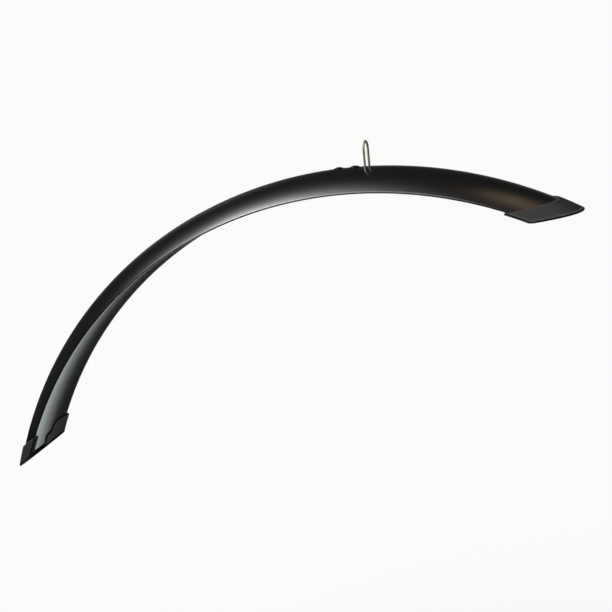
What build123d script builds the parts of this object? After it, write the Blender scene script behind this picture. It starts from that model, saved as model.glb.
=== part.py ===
import os
from math import asin, atan, cos, degrees, radians, sin, sqrt

from build123d import *

# Bicycle front mudguard: a curved channel blade with a moulded cap on each slanted end
# and a bent wire loop riveted to its crown. Millimetres, +X forward, +Y to the left, +Z up,
# with the origin in the eye of the loop, where the bolt of the fork crown passes.

# Blade
crown_radius = 346.0  # wheel centre to the outside of the crown
blade_width = 62.0
blade_depth = 16.1  # crown to edge
blade_wall = 1.6
front_length = 173.6  # along the crown, from the loop to the cap's tip
rear_length = 441.9

# End caps
cap_wall = 1.4
cap_edge_wall = 1.6
cap_end_wall = 1.6
cap_fit = 0.1
cap_rim = 1.2  # end face to the inner edge of the rim at the crown
cap_edge_round = 1.0
cap_end_round = 0.8
front_end_angle = 57.2  # degrees, end face from square across the blade
rear_end_angle = 52.4  # degrees
front_mouth_angle = 58.5  # degrees
rear_mouth_angle = 52.4  # degrees
front_cap_length = 21.6  # along the crown
rear_cap_length = 20.3
front_leaf_overrun = 1.0  # inner leaf past the outer skin
rear_leaf_overrun = 2.0
leaf_upper_width = 9.0  # inner leaf in from the blade's edge, by the cap's mouth
leaf_lower_width = 12.0  # and by its tip
leaf_run_in = 15.0  # length of the curve that starts the leaf
leaf_step_from_tip = 26.0
leaf_step_length = 8.0

# Mounting loop
wire_diameter = 1.8
loop_width = 12.5  # between the centre lines of the legs
loop_height = 20.6  # above the crown
wire_bend_radius = 1.8
tail_length = 31.0  # from the legs to the ends under the crown
wire_hole_clearance = 0.6
seat_gap = 0.05

# Clamp plate and rivets
plate_wall = 1.0
plate_width = 26.0
plate_front = 3.5  # behind the legs
plate_rear = 29.5
rivet_places = {"front": 10.0, "rear": 23.2}  # behind the legs
rivet_shank_radius = 2.0
rivet_head_radius = 3.75
rivet_head_height = 1.35
rivet_head_rim = 0.35
rivet_set_radius = 3.2
rivet_set_height = 1.2

# The section's middle line is an arc, and the blade's edges are rounded over the full wall
edge_y = blade_width / 2 - blade_wall / 2
section_half_angle = 2 * atan((blade_depth - blade_wall) / edge_y)
section_radius = edge_y / sin(section_half_angle)
section_centre = crown_radius - blade_wall / 2 - section_radius  # out from the wheel centre
inside_radius = section_radius - blade_wall / 2

# The wheel centre lies under the loop
wire_radius = wire_diameter / 2
leg_y = loop_width / 2
eye_above_crown = loop_height - wire_radius - leg_y
wheel_centre = Vector(0, 0, -crown_radius - eye_above_crown)
wheel_axis = Axis(wheel_centre, (0, 1, 0))


def outward(angle):
    """Away from the wheel centre, at an angle counted rearward from the loop."""
    return Vector(-sin(angle), 0, cos(angle))


def rearward(angle):
    """Along the crown at that angle."""
    return Vector(-cos(angle), 0, -sin(angle))


def section_plane(angle):
    """Across the blade: x to the left, y outward, from the wheel centre."""
    return Plane(wheel_centre, x_dir=(0, 1, 0), z_dir=-rearward(angle))


def crown_plane(angle):
    """On the crown: x to the left, y rearward, z outward."""
    origin = wheel_centre + outward(angle) * crown_radius
    return Plane(origin, x_dir=(0, 1, 0), z_dir=outward(angle))


def channel_section(skin, edge, corner=0):
    """The blade's section with a skin added on both faces and another amount past each edge.
    Its edges are rounded over the full wall, or flat with rounded corners."""
    centre = (0, section_centre)
    half_wall = blade_wall / 2 + skin
    reach = edge + blade_wall / 2 - (0 if corner else half_wall)
    half_turn = degrees(section_half_angle + reach / section_radius)
    with BuildSketch() as section:
        with BuildLine():
            outer = CenterArc(centre, section_radius + half_wall, 90 - half_turn, 2 * half_turn)
            inner = CenterArc(centre, section_radius - half_wall, 90 - half_turn, 2 * half_turn)
            if corner:
                Line(outer @ 0, inner @ 0)
                Line(outer @ 1, inner @ 1)
            else:
                TangentArc(outer @ 0, inner @ 0, tangent=-(outer % 0))
                TangentArc(outer @ 1, inner @ 1, tangent=outer % 1)
        make_face()
        if corner:
            fillet(section.vertices(), corner)
    return section.sketch


blade_section = channel_section(0, 0)
pocket_section = channel_section(cap_fit, cap_fit)
cap_section = channel_section(cap_fit + cap_wall, cap_fit + cap_edge_wall, cap_edge_round)

# Each end is a plane that leans from the crown's tip back to the blade's edges
cap_radius = crown_radius + cap_fit + cap_wall
edge_radius = crown_radius - blade_depth
front_angle = -front_length / crown_radius
rear_angle = rear_length / crown_radius
raw_share = 1.5  # a cap's turn before its mouth is cut, as a share of the turn it keeps


def slanted_plane(angle, slant, way):
    """Across the blade through the cap's crown, facing the end that way along the blade."""
    lean = radians(slant)
    normal = rearward(angle) * (way * cos(lean)) - outward(angle) * sin(lean)
    return Plane(wheel_centre + outward(angle) * cap_radius, x_dir=(0, 1, 0), z_dir=normal)


front_end = slanted_plane(front_angle, front_end_angle, -1)
rear_end = slanted_plane(rear_angle, rear_end_angle, 1)

# Blade: the left half of the channel, turned about the wheel axis, then its mirror image
with BuildPart() as blade:
    with BuildSketch(section_plane(rear_angle)):
        add(blade_section)
        split(bisect_by=Plane.YZ, keep=Keep.TOP)
    revolve(axis=wheel_axis, revolution_arc=degrees(rear_angle - front_angle))
    # The ends stop inside their caps
    for end, slant in ((front_end, front_end_angle), (rear_end, rear_end_angle)):
        with BuildSketch(end.offset(-cap_end_wall - cap_fit)):
            Rectangle(2 * blade_width, 4 * blade_depth / cos(radians(slant)))
        extrude(amount=2 * blade_depth, mode=Mode.SUBTRACT)
    # A hole for the loop's leg
    with BuildSketch(crown_plane(0)):
        with Locations((leg_y, 0)):
            Circle(wire_radius + wire_hole_clearance)
    extrude(amount=blade_depth, both=True, mode=Mode.SUBTRACT)
    # Holes for the rivets
    for place in rivet_places.values():
        with BuildSketch(crown_plane(place / crown_radius)):
            Circle(rivet_shank_radius + seat_gap)
        extrude(amount=blade_depth, both=True, mode=Mode.SUBTRACT)
    right_half = mirror(blade.part, about=Plane.XZ, mode=Mode.PRIVATE)
    add(right_half, clean=False)
blade.part.label = "blade"


def end_cap(end, angle, mouth_angle, length, leaf_overrun, way):
    """A cap over one end: a thick channel with a pocket for the blade and a cut-away inside."""
    lean = radians(mouth_angle)
    mouth_turn = length / crown_radius
    turn = mouth_turn + leaf_overrun / crown_radius + asin(cap_radius / edge_radius * sin(lean)) - lean
    mouth = slanted_plane(angle - way * mouth_turn, mouth_angle, way)
    leaf_start = Plane(wheel_centre, x_dir=(0, 1, 0), z_dir=rearward(angle - way * turn) * way)
    mouth_reach = edge_radius * sin(turn)  # tip to the leaf's start at the blade's edges
    raw_turn = raw_share * turn
    first = max(angle, angle - way * raw_turn)

    # The room that the blade's end takes up
    with BuildPart() as pocket:
        with BuildSketch(section_plane(first)):
            add(pocket_section)
        revolve(axis=wheel_axis, revolution_arc=degrees(raw_turn))
        split(bisect_by=end.offset(-cap_end_wall), keep=Keep.BOTTOM)

    # The open middle of the inside, which leaves a wavy leaf along each edge
    with BuildPart() as window:
        with BuildSketch(section_plane(first)):
            with Locations((0, section_centre)):
                Circle(section_radius)
        revolve(axis=wheel_axis, revolution_arc=degrees(raw_turn))
        with BuildSketch(crown_plane(angle)):
            upper_y = blade_width / 2 - leaf_upper_width
            lower_y = blade_width / 2 - leaf_lower_width
            step = leaf_step_length / 2
            leaf_points = (
                (0, 2 * mouth_reach),
                (blade_width / 2, 2 * mouth_reach),
                (blade_width / 2, mouth_reach),
                (upper_y, mouth_reach - leaf_run_in),
                (upper_y, leaf_step_from_tip + step),
                ((upper_y + lower_y) / 2, leaf_step_from_tip),
                (lower_y, leaf_step_from_tip - step),
                (lower_y, -mouth_reach),
                (0, -mouth_reach),
            )
            points = [(across, -way * from_tip) for across, from_tip in leaf_points]
            with BuildLine():
                Polyline(points[0:3])
                TangentArc(points[3], points[2], tangent=(0, -way))
                Line(points[3], points[4])
                TangentArc(points[4], points[5], tangent=(0, way))
                TangentArc(points[6], points[5], tangent=(0, -way))
                Polyline(points[6:9])
                mirror(about=Plane.YZ)
            make_face()
        extrude(amount=-crown_radius / 2, mode=Mode.INTERSECT)
        split(bisect_by=end.offset(-cap_rim), keep=Keep.BOTTOM)

    # What the outer skin leaves uncovered of the leaves
    with BuildPart() as uncovered:
        with BuildSketch(section_plane(first)):
            with Locations((0, section_centre)):
                Circle(section_radius + blade_depth)
                Circle(section_radius, mode=Mode.SUBTRACT)
        revolve(axis=wheel_axis, revolution_arc=degrees(raw_turn))
        split(bisect_by=mouth, keep=Keep.BOTTOM)

    with BuildPart() as cap:
        with BuildSketch(section_plane(first)):
            add(cap_section)
        revolve(axis=wheel_axis, revolution_arc=degrees(raw_turn))
        split(bisect_by=end, keep=Keep.BOTTOM)
        split(bisect_by=leaf_start, keep=Keep.TOP)
        flat_faces = faces().filter_by(GeomType.PLANE).sort_by(Axis(end.origin, end.z_dir))
        fillet(flat_faces[-1].edges(), cap_end_round)
        add(pocket.part, mode=Mode.SUBTRACT)
        add(window.part, mode=Mode.SUBTRACT)
        add(uncovered.part, mode=Mode.SUBTRACT)
    return cap.part


front_end_cap = end_cap(
    front_end, front_angle, front_mouth_angle, front_cap_length, front_leaf_overrun, -1
)
front_end_cap.label = "front_end_cap"
rear_end_cap = end_cap(
    rear_end, rear_angle, rear_mouth_angle, rear_cap_length, rear_leaf_overrun, 1
)
rear_end_cap.label = "rear_end_cap"

# Mounting loop: an arch over two legs that bend rearward under the crown
tail_offset = inside_radius - wire_radius - seat_gap  # from the section's centre
tail_out = sqrt(tail_offset**2 - leg_y**2)
tail_radius = section_centre + tail_out  # from the wheel centre
bend_angle = asin(wire_bend_radius / (tail_radius + wire_bend_radius))
tail_angle = tail_length / tail_radius
leg_foot_z = wheel_centre.Z + (tail_radius + wire_bend_radius) * cos(bend_angle)

with BuildPart() as mounting_loop:
    with BuildLine() as wire_line:
        for y in (-leg_y, leg_y):
            leg_top = Vector(0, y, 0)
            leg_foot = Vector(0, y, leg_foot_z)
            bend_end = wheel_centre + outward(bend_angle) * tail_radius + leg_top
            tail_end = wheel_centre + outward(tail_angle) * tail_radius + leg_top
            Line(leg_top, leg_foot)
            TangentArc(leg_foot, bend_end, tangent=(0, 0, -1))
            TangentArc(bend_end, tail_end, tangent=rearward(bend_angle))
        TangentArc((0, -leg_y, 0), (0, leg_y, 0), tangent=(0, 0, 1))
    with BuildSketch(Plane(tail_end, z_dir=rearward(tail_angle))):
        Circle(wire_radius)
    sweep(path=wire_line.line)
mounting_loop.part.label = "mounting_loop"

# Clamp plate: follows the inside of the crown, with a groove for each tail of the wire
plate_outer = inside_radius - seat_gap
plate_inner = plate_outer - plate_wall
plate_half_angle = degrees(asin(plate_width / 2 / plate_outer))
groove_radius = wire_radius + seat_gap
wire_place = (leg_y, tail_radius)

with BuildPart() as clamp_plate:
    with BuildSketch(section_plane(plate_rear / crown_radius)):
        with BuildLine():
            centre = (0, section_centre)
            top = CenterArc(centre, plate_outer, 90 - plate_half_angle, plate_half_angle)
            under = CenterArc(centre, plate_inner, 90 - plate_half_angle, plate_half_angle)
            Line(top @ 0, under @ 0)
            Line(top @ 1, under @ 1)
        make_face()
        with Locations(wire_place):
            Circle(groove_radius + plate_wall)
        with Locations(centre):
            Circle(plate_outer, mode=Mode.INTERSECT)
        with Locations(wire_place):
            Circle(groove_radius, mode=Mode.SUBTRACT)
    revolve(axis=wheel_axis, revolution_arc=degrees((plate_rear - plate_front) / crown_radius))
    for place in rivet_places.values():
        with BuildSketch(crown_plane(place / crown_radius)):
            Circle(rivet_shank_radius + seat_gap)
        extrude(amount=blade_depth, both=True, mode=Mode.SUBTRACT)
    right_plate = mirror(clamp_plate.part, about=Plane.XZ, mode=Mode.PRIVATE)
    add(right_plate, clean=False)
clamp_plate.part.label = "clamp_plate"

# Rivets: a domed head on the crown, a shank, and a set head under the plate
head_seat = crown_radius + seat_gap
set_seat = section_centre + sqrt((plate_inner - seat_gap) ** 2 - rivet_set_radius**2)
clamp_rivets = {}
for name, place in rivet_places.items():
    angle = place / crown_radius
    with BuildPart() as rivet:
        with BuildSketch(section_plane(angle)):
            with BuildLine():
                outline = Polyline(
                    (0, head_seat + rivet_head_height),
                    (0, set_seat - rivet_set_height),
                    (rivet_set_radius, set_seat - rivet_set_height),
                    (rivet_set_radius, set_seat),
                    (rivet_shank_radius, set_seat),
                    (rivet_shank_radius, head_seat),
                    (rivet_head_radius, head_seat),
                    (rivet_head_radius, head_seat + rivet_head_rim),
                )
                TangentArc(outline @ 0, outline @ 1, tangent=(1, 0))
            make_face()
        revolve(axis=Axis(wheel_centre, outward(angle)))
    rivet.part.label = f"clamp_rivet_{name}"
    clamp_rivets[rivet.part.label] = rivet.part

os.makedirs("parts", exist_ok=True)
export_step(blade.part, "parts/blade.step")
export_step(front_end_cap, "parts/front_end_cap.step")
export_step(rear_end_cap, "parts/rear_end_cap.step")
export_step(mounting_loop.part, "parts/mounting_loop.step")
export_step(clamp_plate.part, "parts/clamp_plate.step")
for name, part in clamp_rivets.items():
    export_step(part, f"parts/{name}.step")
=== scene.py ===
import math

import bpy
from mathutils import Matrix, Vector


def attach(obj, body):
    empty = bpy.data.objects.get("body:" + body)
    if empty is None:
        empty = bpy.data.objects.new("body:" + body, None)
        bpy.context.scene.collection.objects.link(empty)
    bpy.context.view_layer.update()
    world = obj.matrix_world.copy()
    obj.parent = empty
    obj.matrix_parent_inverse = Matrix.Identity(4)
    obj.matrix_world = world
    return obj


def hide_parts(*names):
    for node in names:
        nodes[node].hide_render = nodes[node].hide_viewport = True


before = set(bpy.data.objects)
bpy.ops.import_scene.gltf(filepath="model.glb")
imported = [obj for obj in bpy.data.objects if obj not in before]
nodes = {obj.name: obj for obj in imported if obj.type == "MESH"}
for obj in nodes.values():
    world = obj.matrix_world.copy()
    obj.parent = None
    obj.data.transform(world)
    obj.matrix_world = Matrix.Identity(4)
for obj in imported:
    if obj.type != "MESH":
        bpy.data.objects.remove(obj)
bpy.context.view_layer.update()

print("frame loaded:", ", ".join(sorted(nodes)))

# all lengths in metres, in the frame of the part: +X forward, +Y left, +Z up, origin in the loop's eye
wheelCentre = Vector((0.0, 0.0, -0.35945))
wheelAxis = Vector((0.0, 1.0, 0.0))
boltAxis = Vector((1.0, 0.0, 0.0))
startSize = 0.002
weldGap = 1e-7


def outward(angle):  # away from the wheel centre, angle counted rearward from the loop
    return Vector((-math.sin(angle), 0.0, math.cos(angle)))


def rearward(angle):  # along the crown
    return Vector((-math.cos(angle), 0.0, -math.sin(angle)))


def turned(vector, angle, axis):
    return Matrix.Rotation(angle, 3, axis) @ vector


# modelling steps that several pieces share
def clearSelection():
    if bpy.context.object and bpy.context.object.mode != "OBJECT":
        bpy.ops.object.mode_set(mode="OBJECT")
    bpy.ops.object.select_all(action="DESELECT")


def selectOnly(piece):
    clearSelection()
    piece.select_set(True)
    bpy.context.view_layer.objects.active = piece


def selectAll():
    bpy.ops.mesh.select_all(action="SELECT")


def editAll():
    bpy.ops.object.mode_set(mode="EDIT")
    bpy.ops.mesh.select_mode(type="VERT")
    selectAll()


def nameBoth(piece, name):
    piece.name = name
    piece.data.name = name


def startAtPoint(name, place):
    # a small plane drawn together to one vertex, ready to be spun or pulled
    clearSelection()
    bpy.ops.mesh.primitive_plane_add(size=startSize, location=(0, 0, 0))
    piece = bpy.context.object
    nameBoth(piece, name)
    editAll()
    bpy.ops.mesh.merge(type="CENTER")
    bpy.ops.transform.translate(value=place)
    return piece


def spinBy(angle, centre, axis, steps):
    # right-handed about the axis: the operator counts the other way
    bpy.ops.mesh.spin(steps=steps, angle=-angle, center=centre, axis=axis)


def pullTo(step):
    bpy.ops.mesh.extrude_region_move(TRANSFORM_OT_translate={"value": step, "orient_type": "GLOBAL"})


def smoothBy(piece, degreesApart):
    selectOnly(piece)
    bpy.ops.object.shade_smooth_by_angle(angle=math.radians(degreesApart))


def closeUp(piece, degreesApart):
    selectAll()
    bpy.ops.mesh.remove_doubles(threshold=weldGap)
    selectAll()
    bpy.ops.mesh.fill_holes(sides=0)
    selectAll()
    bpy.ops.mesh.normals_make_consistent(inside=False)
    bpy.ops.object.mode_set(mode="OBJECT")
    smoothBy(piece, degreesApart)


def applyAll(piece):
    selectOnly(piece)
    for modifier in list(piece.modifiers):
        bpy.ops.object.modifier_apply(modifier=modifier.name)


def selectFaces(piece, wanted):
    bpy.ops.mesh.select_all(action="DESELECT")
    bpy.ops.object.mode_set(mode="OBJECT")
    for face in piece.data.polygons:
        face.select = wanted(face)
    bpy.ops.object.mode_set(mode="EDIT")
    bpy.ops.mesh.select_mode(type="FACE")


# blade: the section is spun up edge by edge, then turned about the wheel axis
blade = {
    "crownRadius": 0.346,
    "width": 0.062,
    "depth": 0.0161,
    "wall": 0.0016,
    "frontLength": 0.1736,
    "rearLength": 0.4419,
    "frontSlant": 57.2,
    "rearSlant": 52.4,
    "capSkin": 0.0015,
    "endInset": 0.0017,
    "endReach": 0.12,  # the cut at each end takes faces this near
    "legY": 0.00625,
    "holeRadius": 0.0015,
    "holeDepth": 0.012,
    "holeSides": 40,
    "stepsAcross": 44,
    "stepsRound": 10,
    "stepsAlong": 260,
    "sectionWeld": 1e-6,
    "smoothAngle": 40,
}

crownRadius = blade["crownRadius"]
edgeY = blade["width"] / 2 - blade["wall"] / 2
halfTurn = 2 * math.atan((blade["depth"] - blade["wall"]) / edgeY)
sectionRadius = edgeY / math.sin(halfTurn)
sectionOut = crownRadius - blade["wall"] / 2 - sectionRadius
insideRadius = sectionRadius - blade["wall"] / 2
frontAngle = -blade["frontLength"] / crownRadius
rearAngle = blade["rearLength"] / crownRadius
ends = {  # where each end is, its slant and the way it faces
    "front": (frontAngle, blade["frontSlant"], -1),
    "rear": (rearAngle, blade["rearSlant"], 1),
}


def endPlane(angle, slant, way, inset=0.0):
    lean = math.radians(slant)
    normal = rearward(angle) * (way * math.cos(lean)) - outward(angle) * math.sin(lean)
    place = wheelCentre + outward(angle) * (crownRadius + blade["capSkin"]) - normal * inset
    return place, normal


def makeBlade():
    along = rearward(frontAngle)
    up = outward(frontAngle)
    centre = wheelCentre + up * sectionOut

    def onSection(radius, turn):
        return centre + turned(up, turn, along) * radius

    # over the outside and round one edge, then back along the inside and round the other
    piece = startAtPoint("bladeShell", onSection(sectionRadius + blade["wall"] / 2, -halfTurn))
    for way in (1, -1):
        spinBy(way * 2 * halfTurn, centre, along, blade["stepsAcross"])
        spinBy(math.pi, onSection(sectionRadius, way * halfTurn), along, blade["stepsRound"])
    selectAll()
    bpy.ops.mesh.remove_doubles(threshold=blade["sectionWeld"])
    selectAll()
    spinBy(frontAngle - rearAngle, wheelCentre, wheelAxis, blade["stepsAlong"])

    # both ends are cut on a slant, inside their caps
    for angle, slant, way in ends.values():
        place, normal = endPlane(angle, slant, way, blade["endInset"])
        near = wheelCentre + outward(angle) * crownRadius
        selectFaces(piece, lambda face: (face.center - near).length < blade["endReach"])
        bpy.ops.mesh.bisect(plane_co=place, plane_no=normal, clear_outer=True, use_fill=False)
    closeUp(piece, blade["smoothAngle"])

    # holes for the two legs of the wire
    for side in (-1, 1):
        clearSelection()
        bpy.ops.mesh.primitive_cylinder_add(
            vertices=blade["holeSides"],
            radius=blade["holeRadius"],
            depth=blade["holeDepth"],
            location=wheelCentre + Vector((0, side * blade["legY"], crownRadius)),
        )
        cutter = bpy.context.object
        bite = piece.modifiers.new("legHole", "BOOLEAN")
        bite.operation = "DIFFERENCE"
        bite.solver = "EXACT"
        bite.object = cutter
        applyAll(piece)
        bpy.data.objects.remove(cutter)
    smoothBy(piece, blade["smoothAngle"])
    return piece


bladeShell = makeBlade()
print("blade spun:", len(bladeShell.data.polygons), "faces")

# wire loop: a circle carried along the tails, legs and arch
loop = {
    "wireRadius": 0.000895,  # a hair thinner than the real wire, so that the arch stays inside its box
    "bendRadius": 0.0018,
    "tailLength": 0.031,
    "seatGap": 0.00005,
    "sides": 24,
    "archSteps": 40,
    "bendSteps": 12,
    "tailSteps": 24,
    "smoothAngle": 50,
}


def makeLoop():
    legY = blade["legY"]
    bendRadius = loop["bendRadius"]
    tailOffset = insideRadius - loop["wireRadius"] - loop["seatGap"]
    tailRadius = sectionOut + math.sqrt(tailOffset**2 - legY**2)
    bendAngle = math.asin(bendRadius / (tailRadius + bendRadius))
    tailAngle = loop["tailLength"] / tailRadius
    footZ = wheelCentre.z + (tailRadius + bendRadius) * math.cos(bendAngle)
    right = Vector((0, -legY, 0))
    left = Vector((0, legY, 0))

    clearSelection()
    bpy.ops.mesh.primitive_circle_add(
        vertices=loop["sides"],
        radius=loop["wireRadius"],
        fill_type="NOTHING",
        location=wheelCentre + outward(tailAngle) * tailRadius + right,
        rotation=rearward(tailAngle).to_track_quat("Z", "Y").to_euler(),
    )
    piece = bpy.context.object
    nameBoth(piece, "wireLoop")
    bpy.ops.object.transform_apply(location=True, rotation=True, scale=True)
    editAll()

    # along the right tail, up the leg, over the arch and back down to the left tail
    bendCentre = Vector((-bendRadius, 0, footZ))
    bendTurn = math.pi / 2 - bendAngle
    spinBy(tailAngle - bendAngle, wheelCentre, wheelAxis, loop["tailSteps"])
    spinBy(-bendTurn, bendCentre + right, wheelAxis, loop["bendSteps"])
    pullTo((0, 0, -footZ))
    spinBy(-math.pi, (0, 0, 0), boltAxis, loop["archSteps"])
    pullTo((0, 0, footZ))
    spinBy(bendTurn, bendCentre + left, wheelAxis, loop["bendSteps"])
    spinBy(bendAngle - tailAngle, wheelCentre, wheelAxis, loop["tailSteps"])
    closeUp(piece, loop["smoothAngle"])
    return piece


wireLoop = makeLoop()
print("wire loop bent:", len(wireLoop.data.polygons), "faces")

# rivets: a profile turned about its own axis
rivet = {
    "places": {"Front": 0.010, "Rear": 0.0232},
    "headRadius": 0.00375,
    "headHeight": 0.00135,
    "headRim": 0.00035,
    "edgeRound": 0.00012,
    "edgeSteps": 2,
    "edgeAngle": 50,
    "shankRadius": 0.0020,
    "setRadius": 0.0032,
    "setHeight": 0.0012,
    "plateWall": 0.0010,
    "seatGap": 0.00005,
    "domeSteps": 14,
    "steps": 48,
    "profileAngle": 35,
    "smoothAngle": 40,
}


def makeRivet(name, place):
    angle = place / crownRadius
    up = outward(angle)
    headSeat = crownRadius + rivet["seatGap"]
    plateInner = insideRadius - rivet["seatGap"] - rivet["plateWall"]
    setSeat = sectionOut + math.sqrt((plateInner - rivet["seatGap"]) ** 2 - rivet["setRadius"] ** 2)

    def at(side, out):
        return wheelCentre + up * out + wheelAxis * side

    # the dome is an arc from the top to the rim, carried to the left about the axis that runs rearward
    rise = rivet["headHeight"] - rivet["headRim"]
    domeRadius = (rivet["headRadius"] ** 2 + rise**2) / (2 * rise)
    domeTurn = math.asin(rivet["headRadius"] / domeRadius)
    domeCentre = at(0, headSeat + rivet["headHeight"] - domeRadius)
    piece = startAtPoint(name, at(0, headSeat + rivet["headHeight"]))
    spinBy(domeTurn, domeCentre, rearward(angle), rivet["domeSteps"])
    corners = (
        (rivet["headRadius"], headSeat),
        (rivet["shankRadius"], headSeat),
        (rivet["shankRadius"], setSeat),
        (rivet["setRadius"], setSeat),
        (rivet["setRadius"], setSeat - rivet["setHeight"]),
        (0, setSeat - rivet["setHeight"]),
    )
    here = at(rivet["headRadius"], headSeat + rivet["headRim"])
    for side, out in corners:
        there = at(side, out)
        pullTo(there - here)
        here = there
    selectAll()
    spinBy(2 * math.pi, wheelCentre, up, rivet["steps"])
    closeUp(piece, rivet["profileAngle"])
    soften = piece.modifiers.new("edgeRound", "BEVEL")
    soften.width = rivet["edgeRound"]
    soften.segments = rivet["edgeSteps"]
    soften.limit_method = "ANGLE"
    soften.angle_limit = math.radians(rivet["edgeAngle"])
    applyAll(piece)
    smoothBy(piece, rivet["smoothAngle"])
    return piece


rivets = {name: makeRivet("rivet" + name, place) for name, place in rivet["places"].items()}
print("rivets turned:", ", ".join(rivets))

# end caps and clamp plate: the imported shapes, welded and smoothed
packed = {
    "weld": 2e-6,
    "smoothAngle": 32,
}


def smoothCopy(node, name):
    piece = nodes[node].copy()
    piece.data = nodes[node].data.copy()
    nameBoth(piece, name)
    for key in list(piece.keys()):
        if key.startswith("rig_"):
            del piece[key]
    piece.parent = None
    piece.data.materials.clear()
    bpy.context.scene.collection.objects.link(piece)
    selectOnly(piece)
    editAll()
    if piece.data.has_custom_normals:
        bpy.ops.mesh.customdata_custom_splitnormals_clear()
    bpy.ops.mesh.remove_doubles(threshold=packed["weld"])
    bpy.ops.object.mode_set(mode="OBJECT")
    smoothBy(piece, packed["smoothAngle"])
    return piece


frontCap = smoothCopy("front_end_cap", "frontCap")
rearCap = smoothCopy("rear_end_cap", "rearCap")
clampPlate = smoothCopy("clamp_plate", "clampPlate")
print("caps and plate welded")


# finishes
class Wave:
    # one socket, so that shader maths reads as sums
    def __init__(self, bench, socket):
        self.bench = bench
        self.socket = socket

    def step(self, operation, first, second=None):
        sockets = {0: first} if second is None else {0: first, 1: second}
        return self.bench.add("ShaderNodeMath", {"operation": operation}, sockets)

    def __add__(self, other):
        return self.step("ADD", self, other)

    def __radd__(self, other):
        return self.step("ADD", other, self)

    def __sub__(self, other):
        return self.step("SUBTRACT", self, other)

    def __rsub__(self, other):
        return self.step("SUBTRACT", other, self)

    def __mul__(self, other):
        return self.step("MULTIPLY", self, other)

    def __rmul__(self, other):
        return self.step("MULTIPLY", other, self)

    def __pow__(self, other):
        return self.step("POWER", self, other)

    def __abs__(self):
        return self.step("ABSOLUTE", self)

    def arctan2(self, other):
        return self.step("ARCTAN2", self, other)

    def atMost(self, other):
        return self.step("MINIMUM", self, other)

    def atLeast(self, other):
        return self.step("MAXIMUM", self, other)

    def arccos(self):
        return self.step("ARCCOSINE", self)

    def exp(self):
        return self.step("EXPONENT", self)


class Bench:
    # the nodes of one material, or of the world
    def __init__(self, tree):
        self.tree = tree
        tree.nodes.clear()

    def add(self, nodeType, settings, sockets, out=0):
        made = self.tree.nodes.new(nodeType)
        for key, value in settings.items():
            if key == "stops":
                ramp = made.color_ramp
                while len(ramp.elements) < len(value):
                    ramp.elements.new(0.5)
                for element, (position, colour) in zip(ramp.elements, value):
                    element.position = position
                    element.color = colour
            else:
                setattr(made, key, value)
        for key, value in sockets.items():
            if isinstance(value, Wave):
                self.tree.links.new(value.socket, made.inputs[key])
            else:
                made.inputs[key].default_value = value
        return Wave(self, made.outputs[out]) if made.outputs else None

    def coordinates(self, kind):
        return self.add("ShaderNodeTexCoord", {}, {}, out=kind)

    def parts(self, vector):
        split = self.add("ShaderNodeSeparateXYZ", {}, {"Vector": vector})
        return [Wave(self, socket) for socket in split.socket.node.outputs]

    def together(self, x, y, z):
        return self.add("ShaderNodeCombineXYZ", {}, {"X": x, "Y": y, "Z": z})

    def dot(self, vector, axis):
        settings = {"operation": "DOT_PRODUCT"}
        return self.add("ShaderNodeVectorMath", settings, {0: vector, 1: axis}, out="Value")

    def noise(self, vector, scale, detail=3.0, roughness=0.5):
        sockets = {"Vector": vector, "Scale": scale, "Detail": detail, "Roughness": roughness}
        return self.add("ShaderNodeTexNoise", {}, sockets)

    def ramp(self, wave, low, high):
        stops = ((low, (0, 0, 0, 1)), (high, (1, 1, 1, 1)))
        return self.add("ShaderNodeValToRGB", {"stops": stops}, {"Fac": wave})

    def rise(self, wave, start, end, low=0.0, high=1.0):
        sockets = {"Value": wave, "From Min": start, "From Max": end, "To Min": low, "To Max": high}
        return self.add("ShaderNodeMapRange", {"interpolation_type": "SMOOTHSTEP"}, sockets)

    def blend(self, factor, first, second):
        # 6 and 7 are the colours of a Mix node, and 2 its colour result
        return self.add("ShaderNodeMix", {"data_type": "RGBA"}, {0: factor, 6: first, 7: second}, out=2)

    def bump(self, height, strength, distance):
        sockets = {"Height": height, "Strength": strength, "Distance": distance}
        return self.add("ShaderNodeBump", {}, sockets)


class Finish(Bench):
    def __init__(self, name, constants):
        self.material = bpy.data.materials.new(name)
        self.material.use_nodes = True
        super().__init__(self.material.node_tree)
        shader = self.add("ShaderNodeBsdfPrincipled", {}, constants)
        self.shader = shader.socket.node
        self.add("ShaderNodeOutputMaterial", {}, {"Surface": shader})

    def feed(self, sockets):
        for key, wave in sockets.items():
            self.tree.links.new(wave.socket, self.shader.inputs[key])

    def place(self):
        return self.coordinates("Object")

    def alongBlade(self):
        # length forward along the crown, distance to the left, and out from the wheel centre
        x, y, z = self.parts(self.place())
        up = z - wheelCentre.z
        out = (x * x + up * up) ** 0.5
        return x.arctan2(up) * crownRadius, y, out

    def aroundSection(self):
        # angle from the crown line to either side, and distance from the middle of the section
        across, out = self.alongBlade()[1:]
        rise = out - sectionOut
        return abs(across).arctan2(rise), (across * across + rise * rise) ** 0.5

    def beyond(self, plane):
        point, normal = plane
        return self.dot(self.place(), normal) - point.dot(normal)

    def line(self, wave, middle, half):
        # one in the middle, nothing at twice the half width
        return self.rise(abs(wave - middle), 2 * half, 0.4 * half)


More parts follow.
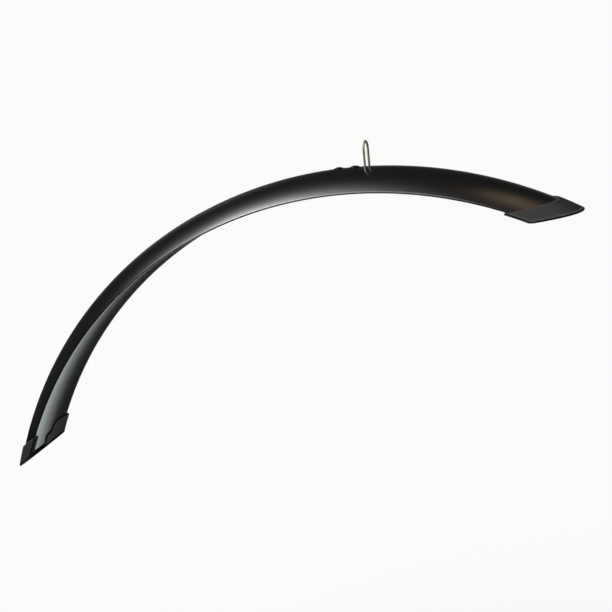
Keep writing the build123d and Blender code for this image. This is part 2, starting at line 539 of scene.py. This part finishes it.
blackLook = {
    "deep": (0.0050, 0.0050, 0.0050, 1),
    "hazed": (0.0100, 0.0099, 0.0095, 1),
    # painted light: the paler inside stands in for mirrored floor light
    "inside": (0.040, 0.041, 0.037, 1),
    # painted highlight along the blade's long edges
    "wearAndHighlight": (0.21, 0.21, 0.205, 1),
    "shine": 1.75,
    "hazeScale": 22.0,
    "peelScale": 420.0,
    "scuffsAlong": 25.0,
    "scuffsAcross": 900.0,
    "outsideRise": 0.0005,
    "insideStart": 0.0004,
    "insideFull": 0.0007,
    "highlightLine": 0.00035,  # in from the edge
    "highlightHalf": 0.0003,
    "highlightRear": (-0.26, -0.15),  # along the crown, where the line fades in and out
    "highlightFront": (0.13, 0.05),
    "dullEdge": (0.0001, -0.0002),
}


def glossBlack():
    finish = Finish("glossBlack", {"IOR": blackLook["shine"]})
    place = finish.place()
    along, across, out = finish.alongBlade()
    haze = finish.noise(place, blackLook["hazeScale"], 5.0, 0.6)
    fine = blackLook["scuffsAcross"]
    streaks = finish.together(along * blackLook["scuffsAlong"], across * fine, out * fine)
    scuffs = finish.ramp(finish.noise(streaks, 1.0, 4.0, 0.6), 0.62, 0.80)
    peel = finish.noise(place, blackLook["peelScale"], 2.0)
    # a painted highlight line runs beside the dull rounding of each long edge
    turn, fromMiddle = finish.aroundSection()
    toEdge = (halfTurn - turn) * sectionRadius
    outside = finish.rise(fromMiddle, sectionRadius, sectionRadius + blackLook["outsideRise"])
    middle = finish.rise(along, *blackLook["highlightRear"]) * finish.rise(along, *blackLook["highlightFront"])
    wearAndHighlight = finish.line(toEdge, blackLook["highlightLine"], blackLook["highlightHalf"])
    wearAndHighlight = wearAndHighlight * outside * middle * (0.7 + 0.5 * haze)
    dull = finish.rise(toEdge, *blackLook["dullEdge"]) * middle
    # painted light: the channel is paler inside than out, standing in for the floor light it mirrors
    insideStart = sectionRadius - blackLook["insideStart"]
    inside = finish.rise(fromMiddle, insideStart, sectionRadius - blackLook["insideFull"])
    tone = finish.blend(haze, blackLook["deep"], blackLook["hazed"])
    tone = finish.blend(inside * (0.6 + 0.6 * haze), tone, blackLook["inside"])
    finish.feed({
        "Base Color": finish.blend(wearAndHighlight, tone, blackLook["wearAndHighlight"]),
        "Roughness": 0.11 + 0.05 * haze + 0.07 * scuffs + 0.35 * dull,
        "Normal": finish.bump(peel + 0.15 * scuffs, 0.10, 0.00005),
    })
    return finish.material


capLook = {
    # length along the crown, slant of the mouth, how strongly edge, end and mouth get a painted
    # highlight, and dust with painted light
    "front": {"length": 0.0216, "slant": 58.5, "edge": 1.0, "end": 1.0, "mouth": 0.10, "dustAndLight": 0.75},
    "rear": {"length": 0.0203, "slant": 52.4, "edge": 0.12, "end": 0.10, "mouth": 1.0, "dustAndLight": 0.0},
    "deep": (0.0205, 0.0210, 0.0202, 1),
    "pale": (0.0315, 0.0322, 0.0310, 1),
    "wornAndLit": (0.052, 0.052, 0.050, 1),
    "dustAndLightTone": (0.120, 0.121, 0.117, 1),
    "rim": (0.007, 0.007, 0.0068, 1),
    "wearAndHighlight": (0.125, 0.125, 0.120, 1),
    "shine": 1.40,
    "shineLevel": 0.2,
    "grainScale": 2600.0,
    "flowScale": 55.0,
    "wearScale": 260.0,
    "outsideRise": 0.0012,
    "edgeLine": -0.0016,  # painted highlight lines: past the blade's edge, and behind the end face
    "endLine": -0.0021,
    "lineHalf": 0.00032,
    "edgeShade": (-0.0018, -0.0021),  # painted shade past those lines
    "endShade": (-0.0017, -0.0014),
    "flankLightTurn": (0.15, 0.60),  # radians round from the crown line, over which the painted flank light comes up
}


def mattGrey(side):
    look = capLook[side]
    angle, slant, way = ends[side]
    mouthAngle = angle - way * look["length"] / crownRadius
    constants = {"IOR": capLook["shine"], "Specular IOR Level": capLook["shineLevel"]}
    finish = Finish("mattGrey" + side.title(), constants)
    place = finish.place()
    grain = finish.noise(place, capLook["grainScale"], 3.0, 0.65)
    flow = finish.noise(place, capLook["flowScale"], 4.0, 0.55)
    wear = finish.ramp(finish.noise(place, capLook["wearScale"], 6.0, 0.7), 0.60, 0.78)
    turn, fromMiddle = finish.aroundSection()
    outside = finish.rise(fromMiddle, sectionRadius, sectionRadius + capLook["outsideRise"])
    toEdge = (halfTurn - turn) * sectionRadius
    toEnd = finish.beyond(endPlane(angle, slant, way))
    toMouth = finish.beyond(endPlane(mouthAngle, look["slant"], way))
    # the corners of the rim and of the mouth get a painted highlight
    half = capLook["lineHalf"]
    corners = look["edge"] * finish.line(toEdge, capLook["edgeLine"], half)
    corners = corners.atLeast(look["end"] * finish.line(toEnd, capLook["endLine"], half))
    corners = corners.atLeast(look["mouth"] * finish.line(toMouth, 0.0, half))
    wearAndHighlight = corners * outside * (0.5 + flow)
    tone = finish.blend(flow, capLook["deep"], capLook["pale"])
    tone = finish.blend(wear * 0.25, tone, capLook["wornAndLit"])
    # dust lies on the inside and on a cap that is more worn, with painted light that grows round the
    # flank and lightens the inside
    wornAndLit = look["dustAndLight"] * (0.35 + 0.75 * finish.rise(turn, *capLook["flankLightTurn"]))
    dustAndLight = (2.0 * (1.0 - outside)).atLeast(wornAndLit) * (0.25 + 0.5 * flow)
    tone = finish.blend(dustAndLight, tone, capLook["dustAndLightTone"])
    # painted shade: the rim past the end and edge lines is darkened
    rim = finish.rise(toEnd, *capLook["endShade"])
    rim = rim.atLeast(0.6 * finish.rise(toEdge, *capLook["edgeShade"]))
    tone = finish.blend(rim, tone, capLook["rim"])
    finish.feed({
        "Base Color": finish.blend(wearAndHighlight, tone, capLook["wearAndHighlight"]),
        "Roughness": 0.58 + 0.12 * grain - 0.06 * wear - 0.08 * wearAndHighlight + 0.35 * rim,
        "Normal": finish.bump(grain, 0.35, 0.00012),
    })
    return finish.material


wireLook = {
    "archDark": (0.46, 0.46, 0.29, 1),
    "archPale": (0.66, 0.66, 0.46, 1),
    "footHighlight": (0.66, 0.66, 0.63, 1),
    "footHeight": (-0.0065, -0.0125),  # a painted highlight makes the feet brighter than the tarnished arch
    "metal": 0.6,
    "drawnAcross": 5200.0,
    "drawnAlong": 90.0,
    "tarnishScale": 320.0,
}


def platedWire():
    finish = Finish("platedWire", {"Metallic": wireLook["metal"]})
    place = finish.place()
    x, y, z = finish.parts(place)
    fine = wireLook["drawnAcross"]
    lines = finish.together(x * fine, y * fine, z * wireLook["drawnAlong"])
    drawn = finish.noise(lines, 1.0, 3.0, 0.6)
    tarnish = finish.noise(place, wireLook["tarnishScale"], 5.0, 0.62)
    # painted highlight: the feet are paler and smoother
    footHighlight = finish.rise(z, *wireLook["footHeight"])
    arch = finish.blend(finish.ramp(tarnish, 0.35, 0.7), wireLook["archDark"], wireLook["archPale"])
    finish.feed({
        "Base Color": finish.blend(footHighlight * (0.5 + 0.6 * tarnish), arch, wireLook["footHighlight"]),
        "Roughness": 0.52 + 0.14 * tarnish + 0.06 * drawn - 0.30 * footHighlight,
        "Normal": finish.bump(drawn, 0.12, 0.00003),
    })
    return finish.material


zincLook = {
    "dark": (0.40, 0.41, 0.41, 1),
    "pale": (0.60, 0.61, 0.61, 1),
    "spangleScale": 420.0,
    "dullScale": 140.0,
}


def zincSheet():
    finish = Finish("zincSheet", {"Metallic": 1.0})
    place = finish.place()
    cells = {"Vector": place, "Scale": zincLook["spangleScale"]}
    spangle = finish.add("ShaderNodeTexVoronoi", {}, cells, out="Color")
    grey = finish.add("ShaderNodeRGBToBW", {}, {"Color": spangle})
    dull = finish.noise(place, zincLook["dullScale"], 5.0, 0.6)
    finish.feed({
        "Base Color": finish.blend(grey * 0.4 + dull * 0.5, zincLook["dark"], zincLook["pale"]),
        "Roughness": 0.34 + 0.20 * dull + 0.06 * grey,
        "Normal": finish.bump(dull, 0.10, 0.00005),
    })
    return finish.material


rivetLook = {
    "black": (0.008, 0.008, 0.0085, 1),
    "wornAndLit": (0.035, 0.034, 0.032, 1),
    "shine": 1.5,
    "coatRoughness": 0.2,
    "peelScale": 1500.0,
    "wearScale": 900.0,
}


def blackRivet():
    constants = {"IOR": rivetLook["shine"], "Coat Roughness": rivetLook["coatRoughness"]}
    finish = Finish("blackRivet", constants)
    place = finish.place()
    peel = finish.noise(place, rivetLook["peelScale"], 3.0, 0.5)
    wearAndHighlight = finish.ramp(finish.noise(place, rivetLook["wearScale"], 5.0, 0.65), 0.60, 0.78)
    finish.feed({
        "Base Color": finish.blend(wearAndHighlight * 0.4, rivetLook["black"], rivetLook["wornAndLit"]),
        "Roughness": 0.26 + 0.12 * peel + 0.10 * wearAndHighlight,
        "Coat Weight": 0.25 - 0.2 * wearAndHighlight,
        "Normal": finish.bump(peel, 0.15, 0.00004),
    })
    return finish.material


rivetPaint = blackRivet()
dressing = (
    (bladeShell, glossBlack(), "blade", "blade"),
    (frontCap, mattGrey("front"), "front_end_cap", "cap"),
    (rearCap, mattGrey("rear"), "rear_end_cap", "cap"),
    (wireLoop, platedWire(), "mounting_loop", "wire"),
    (clampPlate, zincSheet(), "clamp_plate", "plate"),
    (rivets["Front"], rivetPaint, "clamp_rivet_front", "rivet"),
    (rivets["Rear"], rivetPaint, "clamp_rivet_rear", "rivet"),
)
for piece, material, node, slotName in dressing:
    piece.data.materials.clear()
    piece.data.materials.append(material)
    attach(piece, "root")
    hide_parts(node)
print("finishes on:", len(dressing), "pieces")

# floor, light and camera
studio = {
    "floorZ": -0.50,
    "floorSize": 120.0,
    "floorGlow": (0.785, 0.786, 0.783, 1),
    "floorPaint": (0.24, 0.24, 0.237, 1),
    "unlit": (0, 0, 0, 1),
    "frontShare": 0.10,  # how much of its white the polished pieces mirror from the floor in front
    "frontY": -0.10,
    "behindY": 0.20,
    "nearReach": 0.45,  # it fades out between these distances
    "farReach": 0.95,
    "backShare": 0.04,  # and a little comes back a long way behind
    "backStart": 1.2,
    "backEnd": 1.9,
    "keyAim": (-0.633, -0.481, 0.606),  # towards the middle of the large soft lamp
    "keyStrength": 11.7,
    "keyCore": 0.24,  # even out to here, in radians
    "keyFade": 0.134,
    "keyLow": 0.196,  # the lamp comes up between these heights
    "keyHigh": 0.854,
    "keyDimLeft": -0.76,  # and is dimmer on its left
    "keyDimRight": -0.64,
    "keyDim": 0.65,
    "keyTint": (1.0, 1.0, 0.985, 1),
    "warmX": 0.25,  # a weaker warm lamp overhead, a little to the right
    "warmY": 0.08,
    "warmWidth": 0.12,
    "warmDepth": 0.32,
    "warmLow": 0.2,
    "warmHigh": 0.6,
    "warmStrength": 0.90,
    "warmTint": (1.0, 0.72, 0.48, 1),
    "roomStrength": 0.036,  # the room around
    "roomTint": (0.95, 0.97, 1.0, 1),
    "horizonStrength": 0.135,  # more of it low down behind, on the left
    "horizonX": -0.53,
    "horizonWidth": 0.12,
    "horizonTop": 0.60,
    "horizonFull": 0.25,
    "lowStrength": 0.17,  # and lower still on the right
    "lowTop": 0.38,
    "lowFrom": -0.45,
    "lowTo": -0.20,
    "behindFrom": 0.2,  # both come up behind, between these
    "behindTo": 0.7,
    "cards": ((0.02, 0.62), (0.07, 0.70), (0.13, 0.80), (0.19, 0.26)),  # front edge and power of each
    "cardBack": 0.55,
    "cardWidth": 0.90,
    "cardX": -0.05,
    "cardRise": 0.005,
    "cardTint": (0.85, 0.97, 1.02),
    "cameraPlace": (0.33476694, -1.19946217, 0.16611014),
    "cameraAxes": (
        (0.95197574, 0.02360672, 0.30526203),
        (0.29084277, 0.24181397, -0.92570864),
        (-0.09566956, 0.97003543, 0.22333519),
    ),
    "lens": 95.2353,
    "sensorWidth": 36.0,
    "farthest": 500.0,
}


def makeFloor():
    clearSelection()
    bpy.ops.mesh.primitive_plane_add(size=studio["floorSize"], location=(0, 0, studio["floorZ"]))
    floor = bpy.context.object
    floor.name = "floor"
    bpy.ops.object.transform_apply(location=True, rotation=True, scale=True)
    constants = {"Roughness": 0.9, "Specular IOR Level": 0.0, "Emission Strength": 1.0}
    finish = Finish("paleFloor", constants)
    # seen directly the floor is near white, and the lamps only add to it where no shadow falls
    rays = finish.add("ShaderNodeLightPath", {}, {}).socket.node.outputs
    straight = Wave(finish, rays["Is Camera Ray"])
    glossy = Wave(finish, rays["Is Glossy Ray"])
    through = Wave(finish, rays["Is Transmission Ray"])
    x, y = finish.parts(finish.place())[:2]
    reach = (x * x + y * y) ** 0.5
    mirrored = finish.rise(y, studio["frontY"], studio["behindY"], studio["frontShare"])
    mirrored = mirrored * finish.rise(reach, studio["farReach"], studio["nearReach"])
    mirrored = mirrored + finish.rise(y, studio["backStart"], studio["backEnd"], 0.0, studio["backShare"])
    seen = (straight + glossy * mirrored + through).atMost(1.0)
    finish.feed({
        "Base Color": finish.blend(glossy * (1.0 - mirrored), studio["floorPaint"], studio["unlit"]),
        "Emission Color": finish.blend(seen, studio["unlit"], studio["floorGlow"]),
    })
    floor.data.materials.append(finish.material)


def lightStudio():
    world = bpy.data.worlds.new("studioWorld")
    bpy.context.scene.world = world
    world.use_nodes = True
    bench = Bench(world.node_tree)
    ahead = bench.coordinates("Generated")  # in the world, the direction looked in
    x, y, height = bench.parts(ahead)

    fromKey = bench.dot(ahead, Vector(studio["keyAim"]).normalized()).arccos()
    past = (fromKey - studio["keyCore"]).atLeast(0.0)
    key = (past * (-1 / studio["keyFade"])).exp() * studio["keyStrength"]
    key = key * bench.rise(height, studio["keyLow"], studio["keyHigh"])
    key = key * bench.rise(x, studio["keyDimLeft"], studio["keyDimRight"], studio["keyDim"])

    warmX = (x - studio["warmX"]) * (1 / studio["warmWidth"])
    warmY = (y - studio["warmY"]) * (1 / studio["warmDepth"])
    warm = (-1.0 * (warmX * warmX + warmY * warmY)).exp()
    warm = warm * bench.rise(height, studio["warmLow"], studio["warmHigh"], 0.0, studio["warmStrength"])

    aside = (x - studio["horizonX"]) * (1 / studio["horizonWidth"])
    horizon = (-1.0 * aside * aside).exp() * studio["horizonStrength"]
    horizon = horizon * bench.rise(height, studio["horizonTop"], studio["horizonFull"])
    low = bench.rise(height, studio["lowTop"], 0.0, 0.0, studio["lowStrength"])
    horizon = horizon + low * bench.rise(x, studio["lowFrom"], studio["lowTo"])
    room = studio["roomStrength"] + horizon * bench.rise(y, studio["behindFrom"], studio["behindTo"])

    glow = None
    for tint, strength in (("keyTint", key), ("warmTint", warm), ("roomTint", room)):
        lit = bench.add("ShaderNodeBackground", {}, {"Color": studio[tint], "Strength": strength})
        glow = lit if glow is None else bench.add("ShaderNodeAddShader", {}, {0: glow, 1: lit})
    bench.add("ShaderNodeOutputWorld", {}, {"Surface": glow})

    # soft cards overlap on the floor behind, and the inside of the blade mirrors them
    level = studio["floorZ"]
    for front, power in studio["cards"]:
        level += studio["cardRise"]
        lamp = bpy.data.lights.new("bounceCard", "AREA")
        lamp.shape = "RECTANGLE"
        lamp.size = studio["cardWidth"]
        lamp.size_y = studio["cardBack"] - front
        lamp.energy = power
        lamp.color = studio["cardTint"]
        card = bpy.data.objects.new("bounceCard", lamp)
        card.location = (studio["cardX"], (front + studio["cardBack"]) / 2, level)
        card.rotation_euler = (math.pi, 0, 0)
        card.visible_camera = False
        bpy.context.scene.collection.objects.link(card)


def makeCamera():
    camera = bpy.data.cameras.new("photoCamera")
    camera.lens = studio["lens"]
    camera.sensor_width = studio["sensorWidth"]
    camera.clip_end = studio["farthest"]
    holder = bpy.data.objects.new("photoCamera", camera)
    facing = Matrix(studio["cameraAxes"]).to_4x4()
    holder.matrix_world = Matrix.Translation(studio["cameraPlace"]) @ facing
    bpy.context.scene.collection.objects.link(holder)
    bpy.context.scene.camera = holder


makeFloor()
lightStudio()
makeCamera()
bpy.context.scene.view_settings.view_transform = "Standard"
clearSelection()
print("floor, light and camera set")

print("scene ready")
